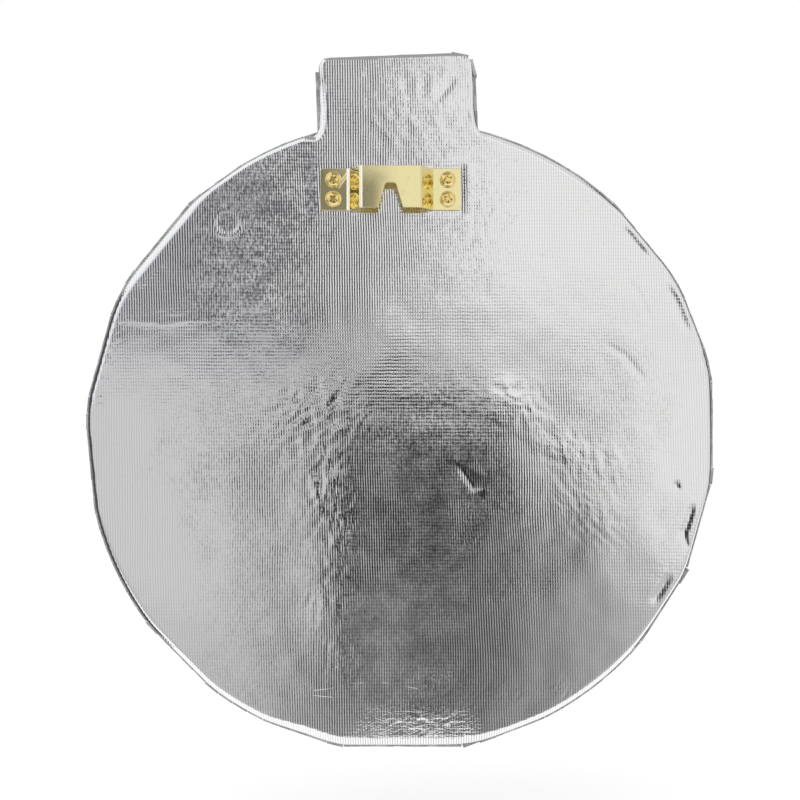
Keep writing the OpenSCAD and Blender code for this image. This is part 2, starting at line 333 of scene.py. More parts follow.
def scratched(finish, place, lines, half_width, rise):
    """Height of a few fine lines."""
    across, up = finish.axis(place, "X"), finish.axis(place, "Z")
    height = 0.0
    for points in lines:
        for start, end in zip(points[:-1], points[1:]):
            (ax, az), (bx, bz) = ((x * MM, z * MM) for x, z in (start, end))
            size = math.dist((ax, az), (bx, bz))
            run = ((across - ax) * (bx - ax) + (up - az) * (bz - az)) * (1 / size)
            aside = ((across - ax) * (bz - az) - (up - az) * (bx - ax)) * (1 / size)
            inside = run.rise(-RUN_OUT, RUN_OUT) * run.rise(size + RUN_OUT, size - RUN_OUT)
            ridge = aside.rise(-half_width, 0) * aside.rise(half_width, 0)
            height = ridge * inside * rise + height
    return height


# Parts of the foil on the flat cloth, across and then along, in mm from its corner: each starts at the first
# limit and is full at the second, and where there are four, it fades from the third to the fourth.
UPPER = ((85, 110), (130, 170))
DEEP = ((90, 112, 150, 168), (128, 105))
MIDDLE_BAND = ((80, 105, 120, 140), (128, 140, 160, 180))
NETTED = ((104, 116, 147, 157), (30, 21))
# Parts where the ribs are pressed flat, in the same way, and how much.
PRESSED = (
    (((160, 195), (150, 105)), 1.0),
    (((106, 84), (115, 80)), 0.62),
    (((70, 80, 98, 112), (80, 68)), 0.25),
)
# Sides of the taut corner by the long fold: shares of across and along, and the limits outside and inside.
TAUT_SIDES = (
    (1.39, 1, 312.2, 314.2),
    (1, 0, 156.8, 154.5),
    (0, 1, 98.8, 101.6),
    (0.484, 1, 183.8, 182.0),
)
# How the threads wander: scale and detail of the noise, and how far it moves a rib and a cross rib in mm.
WANDERS = ((14.0, 2.0, 3.2, 1.6), (70.0, 1.0, 0.35, 0.35), (420.0, 1.0, 0.18, 0.5))


def foil_finish(foil, flat_size):
    """Silver foil on a ribbed cloth, with painted shade between the ribs; the ribs follow the cloth as it was
    cut.
    """
    finish = Finish("silver_foil_cloth")
    flat = finish.node("ShaderNodeUVMap", {"uv_map": BAKE_MAP}, output="UV")
    cloth = finish.stretched(flat, (flat_size[0], flat_size[1], 1.0))
    across, along = finish.axis(cloth, "X"), finish.axis(cloth, "Y")

    def part(limits):
        """1 in a part of the cloth, 0 outside it."""
        return across.within(limits[0]) * along.within(limits[1])

    def dashes(stretch, scale):
        """Where a rib stands higher, in short dashes."""
        return finish.noise(finish.stretched(cloth, stretch), scale, 1.0).rise(0.2, 0.8)

    upper, deep, middle_band, netted = (part(limits) for limits in (UPPER, DEEP, MIDDLE_BAND, NETTED))
    pressed, taut = 0.0, 1.0
    for limits, amount in PRESSED:
        pressed = part(limits) * amount + pressed
    for by_across, by_along, outside, inside in TAUT_SIDES:
        taut = (across * by_across + along * by_along).rise(outside * MM, inside * MM) * taut

    rib_at, weft_at = across + along * math.tan(foil.lean), along
    for scale, detail, rib_move, weft_move in WANDERS:
        wander = finish.noise(cloth, scale, detail)
        rib_at = rib_at + wander * (rib_move * MM)
        weft_at = weft_at + wander * (weft_move * MM)
    ribs = (rib_at * (4 / foil.rib_pitch)).folded()
    weft = (weft_at * (math.tau / foil.weft_pitch)).sine()

    slack = finish.noise(cloth, 120.0, 2.0).rise(0.30, 0.70)
    patches = finish.noise(cloth, 24.0, 3.0).rise(0.36, 0.64)
    grain = finish.noise(cloth, 1500.0, 1.0)
    crinkles = finish.noise(cloth, 640.0, 2.0)
    crumpled_here = finish.node("ShaderNodeAttribute", {"attribute_name": CRUMPLED}, output="Fac")
    net = finish.noise(finish.stretched(cloth, (0.42, 1.0, 1.0)), 640.0, 2.0)
    net = (net - 0.5).size().rise(0.07, 0.0)

    untaut = 1.0 - taut * 0.50
    rib_share = (1.0 - pressed * 0.45) * (1.0 - middle_band * 0.45) * untaut
    rib_share = rib_share * (slack * 0.24 + 0.86) * (deep * 0.06 + 1.0)
    weft_share = (patches * 0.7 + 0.3) * (middle_band * 2.2 + 1.0) * untaut * (1.0 - deep * 0.3)
    rib_form = dashes((1.0, 0.38, 1.0), 1150.0) * (0.75 - deep * 0.50) + weft * (upper * 0.20 + 0.12)
    rib_form = rib_form + deep * 0.25 + 0.63
    weft_form = dashes((0.3, 1.0, 1.0), 1000.0) * 1.1 + 0.30
    hairs = scratched(finish, finish.place(), HAIR_CREASES, foil.hair_width, foil.hair_height)
    height = (
        ribs * rib_form * rib_share * foil.rib_height
        + weft * weft_form * weft_share * foil.weft_height
        + grain * (1.2 - deep * 0.5) * foil.rib_height
        + crinkles * crumpled_here * foil.crinkle_height
        + net * netted * foil.net_height
        + hairs * slack
    )
    haze = finish.noise(cloth, 60.0, 3.0)
    worn = finish.noise(cloth, 320.0, 2.0).rise(0.62, 0.80)
    # Painted shade: the colour darkens in the hollows between the ribs and cross ribs, most in the deep part,
    # where these hollows would lie in shade. The worn spots are random wear.
    painted_valley_shade = ribs.rise(-0.1, -1.0) * (deep * 0.58 + upper * 0.08 + 0.4)
    painted_valley_shade = painted_valley_shade + weft.rise(-0.3, -1.0) * upper * 0.12
    return finish.surface(
        Base_Color=finish.blend(painted_valley_shade + worn * 0.1, foil.silver, tinted(foil.silver, 0.35)),
        Metallic=1.0,
        Roughness=haze * 0.06 + (foil.roughness - 0.03),
        Normal=finish.relief(height),
    )


def mirror_finish(tiles):
    """Silvered glass with faint finger marks."""
    finish = Finish("mirror_face")
    place = finish.place()
    marks = finish.noise(place, 90.0, 4.0, 0.6).rise(0.48, 0.72)
    specks = finish.noise(place, 2600.0, 1.0).rise(0.70, 0.80)
    return finish.surface(
        Base_Color=finish.blend(specks * 0.6, tiles.mirror, tinted(tiles.mirror, 0.55)),
        Metallic=1.0,
        Roughness=marks * 0.05 + specks * 0.15 + 0.015,
    )


def cut_glass_finish(tiles):
    """The cut, ground edge of the glass."""
    finish = Finish("cut_glass_edge")
    place = finish.place()
    chips = finish.noise(place, 1900.0, 3.0, 0.6)
    cloudy = finish.noise(place, 260.0, 2.0).rise(0.35, 0.7)
    return finish.surface(
        Base_Color=finish.blend(cloudy, tinted(tiles.cut_glass, 0.72), tinted(tiles.cut_glass, 1.25)),
        Roughness=chips * 0.3 + 0.08,
        IOR=1.52,
        Coat_Weight=0.4,
        Coat_Roughness=0.06,
        Normal=finish.relief(chips, 0.06 * MM),
    )


def backing_finish(tiles):
    """Grey paint on the back of the mirror glass."""
    finish = Finish("mirror_backing_paint")
    streaks = finish.noise(finish.place(), 700.0, 3.0)
    return finish.surface(
        Base_Color=finish.blend(streaks, tinted(tiles.backing, 0.8), tinted(tiles.backing, 1.2)),
        Roughness=streaks * 0.2 + 0.45,
    )


# Painted highlight along a bend of the hanger, a near-white matt strip that stands in for the bend's glint: the
# limits in mm from the nail to the left, and how much.
PAINTED_BEND_HIGHLIGHTS = (((14.70, 15.00, 15.95, 16.25), 1.0), ((9.95, 10.25, 10.80, 11.10), 0.8))
# Colour of the painted bend highlight.
BEND_HIGHLIGHT_WHITE = (1.0, 0.98, 0.88)
# Stretch of the brass's grain: drawn out along a rolled strip, even on a screw.
ROLLED, TURNED = (0.12, 1.0, 1.0), (1.0, 1.0, 1.0)
GRAIN_HEIGHT = 0.0018 * MM


def brass_finish(name, brass, shade, along, roughness):
    """Brass plate with a fine drawn grain, a few rubbed spots, scratches and painted highlights along the bends.
    """
    finish = Finish(name)
    place = finish.place()
    grain = finish.noise(finish.stretched(place, along), 5200.0, 2.0)
    rubbed = finish.noise(place, 420.0, 3.0).rise(0.52, 0.76)
    scratches = scratched(finish, place, SCRATCHES, brass.scratch_width, brass.scratch_height)
    across = finish.axis(place, "X")
    # Painted highlight: along the bends the brass turns near-white and matt, standing in for their glint.
    white = 0.0
    for limits, amount in PAINTED_BEND_HIGHLIGHTS:
        white = across.within(limits) * amount + white
    metal = finish.blend(rubbed, shade, tinted(shade, 0.93))
    return finish.surface(
        Base_Color=finish.blend(white, metal, BEND_HIGHLIGHT_WHITE),
        Metallic=1.0 - white * 0.75,
        Roughness=rubbed * 0.04 + grain * 0.05 + white * 0.2 + roughness,
        Normal=finish.relief(grain * GRAIN_HEIGHT + scratches),
    )


def board_finish(board):
    """Brown fibreboard."""
    finish = Finish("fibreboard")
    place = finish.place()
    fibres = finish.noise(finish.stretched(place, (1.0, 1.0, 0.4)), 900.0, 4.0, 0.65)
    return finish.surface(
        Base_Color=finish.blend(fibres.rise(0.3, 0.7), board.dark, board.light),
        Roughness=fibres * 0.15 + 0.75,
        Normal=finish.relief(fibres, 0.2 * MM),
    )


# Shared mesh helpers

# Points closer than this are one, and faces that turn less than this are one flat face.
SAME_PLACE = 0.001 * MM
FLAT_TURN = math.radians(0.4)


def piece_from(bm, name, materials, smooth_angle=None):
    """Makes the finished object of a piece from its bmesh."""
    mesh = bpy.data.meshes.new(name)
    bm.to_mesh(mesh)
    bm.free()
    for material in materials:
        mesh.materials.append(material)
    if smooth_angle is not None:
        mesh.shade_smooth()
        mesh.set_sharp_from_angle(angle=math.radians(smooth_angle))
    piece = bpy.data.objects.new(name, mesh)
    bpy.context.scene.collection.objects.link(piece)
    return piece


def on_the_ornament(piece, slot, *nodes):
    """Attaches a piece to the ornament's body and hides the CAD nodes that it stands for; the slot is not used.
    """
    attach(piece, BODY)
    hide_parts(*nodes)


def solid_copy(node):
    """A CAD node's mesh, merged, with its flat faces made whole."""
    bm = bmesh.new()
    bm.from_mesh(NODES[node].data)
    bmesh.ops.remove_doubles(bm, verts=bm.verts, dist=SAME_PLACE)
    bmesh.ops.dissolve_limit(
        bm, angle_limit=FLAT_TURN, verts=bm.verts, edges=bm.edges, delimit=set()
    )
    for face in bm.faces:
        face.material_index = 0
    return bm


def islands(bm):
    """The separate bodies of a mesh, as lists of faces."""
    waiting = set(bm.faces)
    found = []
    for first in bm.faces:
        if first not in waiting:
            continue
        waiting.remove(first)
        body = [first]
        for face in body:
            for edge in face.edges:
                for other in edge.link_faces:
                    if other in waiting:
                        waiting.remove(other)
                        body.append(other)
        found.append(body)
    return found


def rounded(bm, edges, offset, segments):
    """Rounds edges and gives the new faces."""
    shape = {"affect": "EDGES", "profile": 0.5, "material": -1, "clamp_overlap": True}
    return bmesh.ops.bevel(bm, geom=edges, offset=offset, segments=segments, **shape)["faces"]


# Foil cover


def ball_middle():
    """Middle of the round part, across and up, and its radius."""
    low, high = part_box("core_board")
    radius = (high.x - low.x) / 2
    return np.array([(low.x + high.x) / 2, low.z + radius]), radius


def board_outline(spread):
    """The board's outline grown by the cover's thickness, as a smooth loop of x, z points."""
    middle, radius = ball_middle()
    places = np.array([vertex.co for vertex in NODES["core_board"].data.vertices])
    front = places[places[:, 1] < places[:, 1].min() + 1e-5][:, [0, 2]]
    ring = np.unique(np.round(front, 7), axis=0)
    ring = ring[np.hypot(*(ring - middle).T) > radius / 2]
    ring = ring[np.argsort(np.arctan2(*(ring - middle).T))]
    ring = ring + outward(ring) * spread
    for _ in range(2):
        after = np.roll(ring, -1, 0)
        cut = np.stack([0.75 * ring + 0.25 * after, 0.25 * ring + 0.75 * after], 1)
        ring = cut.reshape(-1, 2)
    return ring


def outward(ring):
    """Outward direction at each point of a clockwise loop."""
    along = np.roll(ring, -1, 0) - np.roll(ring, 1, 0)
    along /= np.hypot(*along.T)[:, None]
    return np.stack([-along[:, 1], along[:, 0]], 1)


# Nearer to the outline than this, the way out is blended between its points.
BLENDED_NEAR = 0.3 * MM


def nearest_edge(ring, points):
    """Signed distance to a loop, the nearest place on it and the way out of it there."""
    step = np.roll(ring, -1, 0) - ring
    out = outward(ring)
    out_after = np.roll(out, -1, 0)
    square = (step**2).sum(1)
    gap = np.empty(len(points))
    place = np.empty_like(points)
    way = np.empty_like(points)
    for part in np.array_split(np.arange(len(points)), max(1, len(points) // 4000)):
        offset = points[part][:, None] - ring[None]
        run = np.clip((offset * step).sum(2) / square, 0, 1)
        apart = offset - run[..., None] * step
        best = (apart**2).sum(2).argmin(1)
        row = np.arange(len(part))
        run, apart = run[row, best], apart[row, best]
        mean = out[best] * (1 - run)[:, None] + out_after[best] * run[:, None]
        mean /= np.hypot(*mean.T)[:, None]
        side = np.where((apart * mean).sum(1) < 0, -1.0, 1.0)
        size = np.hypot(*apart.T)
        exact = apart * (side / np.maximum(size, 1e-9))[:, None]
        gap[part] = side * size
        place[part] = ring[best] + run[:, None] * step[best]
        way[part] = np.where((size > BLENDED_NEAR)[:, None], exact, mean)
    return gap, place, way


def soft_step(value, start, end):
    """0 before start, 1 after end, smooth between."""
    share_of = np.clip((value - start) / (end - start), 0, 1)
    return share_of * share_of * (3 - 2 * share_of)


def gradient_noise(across, up, draw, wave):
    """Smooth random heights between about -1 and 1, one rise and fall in about a wave."""
    size = 64
    lean = np.array([draw.uniform(0, math.tau) for _ in range(size * size)]).reshape(size, size)
    x, y = across / wave, up / wave
    column, row = np.floor(x).astype(int), np.floor(y).astype(int)
    x, y = x - column, y - row

    def slope(right, above):
        way = lean[(column + right) % size, (row + above) % size]
        return np.cos(way) * (x - right) + np.sin(way) * (y - above)

    ease_x, ease_y = (t * t * t * (t * (t * 6 - 15) + 10) for t in (x, y))
    lower = slope(0, 0) * (1 - ease_x) + slope(1, 0) * ease_x
    upper = slope(0, 1) * (1 - ease_x) + slope(1, 1) * ease_x
    return 1.5 * (lower * (1 - ease_y) + upper * ease_y)


def turned(across, up, degrees):
    """Places along a slanted line and aside of it."""
    cos, sin = math.cos(math.radians(degrees)), math.sin(math.radians(degrees))
    return across * cos + up * sin, up * cos - across * sin


def crumpled(across, up, draw, wave, slant, stretch):
    """A net of soft creases, drawn out along a slant in degrees."""
    along, aside = turned(across, up, slant)
    along = along / stretch
    bend = gradient_noise(along, aside, draw, 2.2 * wave) * 0.6 * wave
    large = gradient_noise(along + bend, aside + bend, draw, wave)
    small = gradient_noise(along - bend, aside + bend, draw, 0.47 * wave)
    return 0.75 - np.abs(large) * 1.3 + small * 0.4


def patch(across, up, middle, size, turn):
    """A soft oval patch: 1 inside, 0 outside."""
    along, aside = turned(across - middle[0], up - middle[1], turn)
    return np.exp(-((along / size[0]) ** 2) - (aside / size[1]) ** 2)


def crease(across, up, points, flanks):
    """A fold along a line of points: 1 on the line, 0 at its ends and beyond its left and right flanks."""
    best = np.full_like(across, 1e9)
    run_at = np.zeros_like(across)
    leftward = np.zeros_like(across)
    legs = list(zip(points[:-1], points[1:]))
    total = sum(math.dist(a, b) for a, b in legs)
    before = 0.0
    for (ax, az), (bx, bz) in legs:
        size = math.dist((ax, az), (bx, bz))
        run = ((across - ax) * (bx - ax) + (up - az) * (bz - az)) / size**2
        run = np.clip(run, 0, 1)
        gap = np.hypot(across - ax - run * (bx - ax), up - az - run * (bz - az))
        nearer = gap < best
        best = np.where(nearer, gap, best)
        run_at = np.where(nearer, (before + run * size) / total, run_at)
        leftward = np.where(nearer, (bx - ax) * (up - az) - (bz - az) * (across - ax), leftward)
        before += size
    ends = soft_step(run_at, -0.02, 0.3) * (1 - soft_step(run_at, 0.7, 1.02))
    width = np.where(leftward > 0, flanks[0], flanks[1])
    return np.clip(1 - best / width, 0, 1) * ends


# Folds in mm from the ball's middle, to the right and up as seen from the back:
# the points of the line, the widths of its left and right flanks, and its height.
FOLDS = (
    (((20.8, -11.4), (24.1, -16.2), (28.7, -23.0)), (6.5, 1.9), -0.22),
    (((27.6, -21.9), (32.0, -21.7)), (0.8, 0.8), 0.05),
    (
        (
            *((31.0, 34.0), (33.4, 4.0), (31.2, -7.0), (32.4, -16.0)),
            *((30.4, -24.0), (33.4, -33.0), (31.6, -40.0), (34.4, -54.0)),
        ),
        (22.0, 14.0),
        0.30,
    ),
    (((81.2, 75.7), (86.5, 68.8), (92.1, 62.1)), (1.9, 4.0), -0.27),
    (((82.6, 77.0), (88.0, 70.0), (93.7, 63.2)), (1.2, 1.9), 0.07),
    (((97.2, 54.6), (101.8, 45.4), (105.7, 34.8)), (2.2, 2.5), -0.27),
    (((99.1, 55.7), (103.8, 46.3), (107.7, 35.5)), (1.4, 2.2), 0.13),
    (((106.9, -25.7), (105.1, -32.1), (102.9, -38.5)), (1.9, 2.0), -0.27),
    (((108.6, -26.1), (106.8, -32.7), (104.6, -39.1)), (1.2, 1.9), 0.06),
    (((102.6, -34.8), (105.0, -43.1)), (1.0, 1.4), -0.22),
    (((100.0, -18.2), (101.6, -21.8)), (1.5, 1.5), -0.24),
    (((98.6, -51.4), (95.1, -57.2), (91.2, -62.9)), (2.2, 2.2), -0.27),
    (((73.6, 33.2), (82.6, 27.8), (90.6, 17.6)), (1.2, 2.6), -0.07),
    (((82.8, 57.2), (88.1, 49.9), (92.8, 38.0)), (1.2, 2.6), -0.06),
    (((12.8, 119.8), (17.0, 125.2), (21.2, 130.3)), (4.0, 1.7), -0.14),
    (((26.4, 117.2), (27.8, 113.0)), (1.0, 1.0), 0.18),
    (((-96.5, 51.0), (-91.4, 56.5), (-86.0, 61.6)), (0.9, 0.9), 0.07),
    (((-107.0, 41.0), (-88.0, 39.6), (-62.0, 41.6)), (1.6, 1.6), 0.06),
)

# Soft swells in the same way.
SWELLS = (
    (
        (
            *((-33.3, 2.0), (-34.4, -12.7), (-31.1, -23.7), (-30.4, -32.9), (-25.9, -42.1)),
            *((-29.0, -51.3), (-22.5, -60.5), (-25.0, -68.0), (-16.5, -79.0), (-14.0, -90.0)),
        ),
        (20.0, 16.0),
        0.27,
    ),
    (((37.0, 26.0), (39.0, 14.9), (40.5, -1.6), (43.0, -20.0), (46.0, -46.0)), (34.0, 16.0), 0.20),
)

# Crumpled patches in mm: middle, half sizes, turn in degrees, crease spacing, slant of the creases, how far
# they are drawn out, and their height.
CRUMPLES = (
    ((-29.5, 6.0), (16.0, 12.0), 20.0, 4.6, 58.0, 1.6, 0.200),
    ((-26.5, -20.0), (8.0, 17.0), 0.0, 4.2, 75.0, 1.6, 0.220),
    ((-22.0, -38.0), (7.0, 14.0), 0.0, 4.0, 88.0, 1.7, 0.220),
    ((-25.5, -60.5), (7.0, 13.0), 0.0, 4.4, 74.0, 1.5, 0.100),
    ((-22.0, -82.0), (8.0, 10.0), 0.0, 4.0, 84.0, 1.7, 0.090),
    ((25.4, -34.0), (4.6, 12.0), 0.0, 2.8, 70.0, 1.4, 0.060),
    ((11.0, 14.0), (19.0, 4.6), 0.0, 3.0, 2.0, 2.4, 0.045),
    ((41.5, 11.0), (11.0, 8.0), -20.0, 4.2, -40.0, 1.5, 0.160),
    ((62.0, -8.0), (19.0, 7.0), -34.0, 4.8, -50.0, 1.6, 0.110),
    ((77.8, -10.0), (5.5, 8.5), 0.0, 3.6, -70.0, 1.5, 0.060),
    ((68.0, -30.0), (17.0, 9.0), -38.0, 4.0, -48.0, 1.6, 0.055),
    ((29.0, 74.0), (14.0, 30.0), 0.0, 5.0, 80.0, 1.6, 0.035),
    ((-89.0, -9.0), (3.2, 8.0), 0.0, 2.2, 80.0, 1.3, 0.045),
    ((-104.0, -16.5), (6.0, 4.5), 30.0, 2.3, 40.0, 1.3, 0.045),
    ((-78.5, 41.0), (30.0, 5.0), 0.0, 3.2, 4.0, 2.6, 0.035),
    ((14.5, -91.0), (14.0, 6.0), 0.0, 2.8, 25.0, 1.4, 0.070),
    ((38.0, -95.0), (13.0, 4.0), 0.0, 2.4, 50.0, 1.6, 0.030),
    ((9.0, -103.4), (16.0, 5.4), 0.0, 2.2, 3.0, 2.0, 0.150),
    ((-16.0, -101.0), (14.0, 4.0), 0.0, 2.6, 0.0, 3.0, 0.020),
    ((0.0, 118.0), (26.0, 18.0), 90.0, 5.8, 98.0, 1.8, 0.085),
    ((59.4, -93.4), (5.0, 3.6), -35.0, 2.0, 50.0, 1.4, 0.090),
    ((-105.7, 32.3), (14.0, 3.0), 73.0, 2.4, 40.0, 1.3, 0.110),
    ((-110.5, 10.7), (4.0, 2.6), 84.0, 2.0, 70.0, 1.3, 0.100),
    ((96.6, -51.0), (4.0, 8.0), -30.0, 2.4, 60.0, 1.4, 0.060),
)
# A crumpled patch of this height has all of its fine crinkles.
FULL_CRUMPLE = 0.08
# Round dent: its middle, and the radius, width and height of its rim, in mm.
ROUND_DENT = ((-63.0, 76.4), 5.0, 0.9, 0.16)
# Unevenness of the glued cloth: height and wave in mm.
WAVES = ((0.26, 88.0), (0.07, 36.0), (0.055, 14.0), (0.018, 6.0))
# Lowest and highest place of a wrinkle in mm.
WRINKLE_LIMITS = (-0.27, 0.5)


def wrinkle_heights(across, up, foil):
    """Height of the foil's wrinkles at flat places in mm from the ball's middle, and where it is crumpled."""
    draw = random.Random(foil.seed)
    height = np.zeros_like(across)
    for rise, wave in WAVES:
        height += rise * gradient_noise(across, up, draw, wave)
    crumpled_here = np.zeros_like(across)
    for middle, size, turn, wave, slant, stretch, rise in CRUMPLES:
        here = patch(across, up, middle, size, turn)
        height += rise * here * crumpled(across, up, draw, wave, slant, stretch)
        crumpled_here = np.maximum(crumpled_here, here * min(1.0, rise / FULL_CRUMPLE))
    for points, flanks, rise in FOLDS:
        height += rise * crease(across, up, points, flanks)
    for points, flanks, rise in SWELLS:
        height += rise * soft_step(crease(across, up, points, flanks), 0, 1)
    middle, radius, width, rise = ROUND_DENT
    from_middle = np.hypot(across - middle[0], up - middle[1])
    lower_side = 0.35 + 0.65 * soft_step(middle[1] - up, -2.0, radius)
    height += rise * lower_side * np.exp(-(((from_middle - radius) / width) ** 2))
    height -= 0.6 * rise * (1 - soft_step(from_middle, radius - 2.0, radius))
    return height * foil.wrinkles, crumpled_here


# Radius of the cover's back edge in mm, by the angle in degrees from the top, clockwise seen from the back.
EDGE_ROLL = (
    *((0, 0.45), (12, 0.45), (13, 1.2), (15, 1.2), (20, 2.2), (43, 2.2), (46, 0.9), (73, 0.9)),
    *((76, 2.2), (98, 2.2), (102, 1.0), (126, 1.0), (130, 1.5), (160, 1.5), (168, 2.6), (197, 2.6)),
    *((204, 1.5), (226, 1.5), (232, 1.9), (295, 1.9), (301, 3.2), (316, 3.2), (322, 1.6)),
    *((340, 1.5), (342, 1.5), (344, 3.0), (347, 3.0), (348.5, 0.45)),
)


def edge_rolls(points, ball, foil):
    """Radius of the cover's back edge on the way out from the ball's middle through flat places."""
    turn = np.degrees(np.arctan2(ball[0] - points[:, 0], points[:, 1] - ball[1]))
    angles, radii = zip(*EDGE_ROLL)
    return np.interp(turn, angles, radii, period=360) * foil.roll * MM


# By the hanger's feet, in mm: the wrinkles come back over the first length, and the foil swells by the second
# one, most at the third and no more from the fourth.
FOOT_PRESS, FOOT_SWELL, SWELL_TOP, SWELL_END = 3.0, 0.07, 1.9, 6.0


def pressed_by_feet(points, foot):
    """Share of a wrinkle that is left by the hanger's feet, and how far the foil swells round them in mm."""
    low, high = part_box("hanger")
    gap = np.full(len(points), 1.0)
    for left, right in ((low.x, low.x + foot), (high.x - foot, high.x)):
        aside = np.maximum(np.maximum(left - points[:, 0], points[:, 0] - right), 0)
        above = np.maximum(np.maximum(low.z - points[:, 1], points[:, 1] - high.z), 0)
        gap = np.minimum(gap, np.hypot(aside, above))
    gap = gap / MM
    swollen = FOOT_SWELL * soft_step(gap, 0, SWELL_TOP) * (1 - soft_step(gap, SWELL_TOP, SWELL_END))
    return soft_step(gap, 0, FOOT_PRESS), swollen


# A face longer than this many cells lies over a slit at a corner and is cut out.
SLIT = 3.2


def foil_piece(foil):
    """Lays the flat foil on the board and wraps its rim over the edge and down the side."""
    low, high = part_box("foil_cover")
    back, front = high.y, low.y
    least = min(radius for _, radius in EDGE_ROLL) * foil.roll * MM
    over = back - front - (2 - math.pi / 2) * least
    size = Vector((high.x - low.x + 2 * over, high.z - low.z + 2 * over))
    middle = Vector(((low.x + high.x) / 2, (low.z + high.z) / 2))

    bm = bmesh.new()
    bm.loops.layers.uv.new(BAKE_MAP)
    columns, rows = round(size.x / foil.cell), round(size.y / foil.cell)
    bmesh.ops.create_grid(bm, x_segments=columns, y_segments=rows, size=0.5, calc_uvs=True)
    flat = np.array([vertex.co[:2] for vertex in bm.verts])
    points = np.stack([middle.x - flat[:, 0] * size.x, middle.y + flat[:, 1] * size.y], 1)

    ring = board_outline(foil.thickness)
    gap, edge, way = nearest_edge(ring, points)
    ball, _ = ball_middle()
    roll = edge_rolls(points, ball, foil)
    quarter = roll * math.pi / 2
    wrap = quarter + (back - roll - front)
    past = gap + roll
    kept = past < wrap
    flat_area = size.x * size.y * kept.mean()
    past = np.minimum(past, wrap)
    turn = np.clip(past / roll, 0, math.pi / 2)
    inset = roll * (1 - np.sin(turn))
    drop = roll * (1 - np.cos(turn)) + np.maximum(past - quarter, 0)
    on_flat = (past <= 0)[:, None]
    place = np.where(on_flat, points, edge - way * inset[:, None])

    heights, crumpled_here = wrinkle_heights(
        (ball[0] - points[:, 0]) / MM, (points[:, 1] - ball[1]) / MM, foil
    )
    free, swollen = pressed_by_feet(points, foil.foot)
    fade = 1 - soft_step(past, 0, quarter)
    heights = (np.clip(heights, *WRINKLE_LIMITS) * free + swollen) * MM * fade
    lift = heights * np.cos(turn)
    place = place + way * (heights * np.sin(turn))[:, None]
    depth = back - drop + lift

    crumple_layer = bm.verts.layers.float.new(CRUMPLED)
    for vertex, (x, z), y, crumple in zip(bm.verts, place, depth, crumpled_here):
        vertex.co = (x, y, z)
        vertex[crumple_layer] = crumple
    bm.verts.ensure_lookup_table()
    outside = [face for face in bm.faces if not any(kept[v.index] for v in face.verts)]
    bmesh.ops.delete(bm, geom=outside, context="FACES")
    slit = [face for face in bm.faces if max(e.calc_length() for e in face.edges) > SLIT * foil.cell]
    bmesh.ops.delete(bm, geom=slit, context="FACES")
    piece = piece_from(bm, "foil_back", [foil_finish(foil, size)])
    piece.data.shade_smooth()
    return piece, size, flat_area


# Tiles


def tile_bodies(node, tiles, draw, outward_of, lean):
    """The tiles of one CAD row: ground edges, a mirror face, and each leaning a little as glued."""
    bm = solid_copy(node)
    for body in islands(bm):
        whole = sorted(body, key=lambda face: -face.calc_area())[:2]
        middle = sum((face.calc_center_median() for face in whole), Vector()) / 2
        out = outward_of(middle)
        for face in body:
            face.material_index = 1
        for face in whole:
            face.material_index = 0 if face.normal.dot(out) > 0 else 2
        normal = max(whole, key=lambda face: face.normal.dot(out)).normal.copy()
        edges = list({edge for face in body for edge in face.edges})
        verts = {vertex for face in body for vertex in face.verts}
        made = rounded(bm, edges, tiles.ground_edge, 1)
        for face in made:
            face.material_index = 2 if face.normal.dot(out) < -0.3 * out.length else 1
        verts = {v for v in verts if v.is_valid} | {v for face in made for v in face.verts}
        aside = normal.orthogonal().normalized()
        spin = Matrix.Rotation(draw.uniform(0, math.tau), 3, normal)
        turn = Matrix.Rotation(draw.gauss(0, lean), 3, spin @ aside)
        bmesh.ops.rotate(bm, cent=middle, matrix=turn, verts=list(verts))
        raise_tile(bm, node, middle, list(verts))
    return bm


# Tiles whose glue let one end go: the node, the end that still holds and the end that stands off, in mm from
# the ball's middle, to the right and up as seen from the back, and how far it stands off in degrees.
RAISED = (
    ("rim_strip_2", (100.9, -55.6), (104.2, -50.2), 4.5),
    ("rim_strip_2", (27.3, -111.8), (21.1, -113.2), 7.0),
    ("neck_strip", (-29.6, 130.0), (-30.2, 136.4), 8.0),
)
HALF_TILE = 2.8 * MM


def raise_tile(bm, node, middle, verts):
    """Turns a tile that stands off at one end."""
    ball, _ = ball_middle()
    for name, held, loose, turn in RAISED:
        ends = [Vector((ball[0] - right * MM, 0, ball[1] + up * MM)) for right, up in (held, loose)]
        between_ends = (ends[0] + ends[1]) / 2
        if name == node and math.hypot(middle.x - between_ends.x, middle.z - between_ends.z) < HALF_TILE:
            way = (ends[1] - ends[0]).cross(away_from_ball(middle)).y
            spin = Matrix.Rotation(math.copysign(math.radians(turn), way), 3, "Y")
            bmesh.ops.rotate(bm, cent=ends[0], matrix=spin, verts=verts)


def tile_piece(name, nodes, tiles, finishes, outward_of, lean, seed):
    """One piece from the tiles of several CAD nodes."""
    draw = random.Random(seed)
    whole = bmesh.new()
    for node in nodes:
        row = tile_bodies(node, tiles, draw, outward_of, lean)
        passing = bpy.data.meshes.new("passing")
        row.to_mesh(passing)
        row.free()
        whole.from_mesh(passing)
        bpy.data.meshes.remove(passing)
    on_the_ornament(piece_from(whole, name, finishes), "mirror_glass", *nodes)


def forwards(_):
    """The way out of a front tile."""
    return Vector((0, -1, 0))


def away_from_ball(place):
    """The way out of a rim tile."""
    middle, _ = ball_middle()
    return Vector((place.x - middle[0], 0, place.z - middle[1]))


# Brass


# Edges of the hanger that are hard enough to round, and those that stay sharp in its shading.
HARD_EDGE = math.radians(40)
SHARP_PLATE, SHARP_SCREW = 50, 38


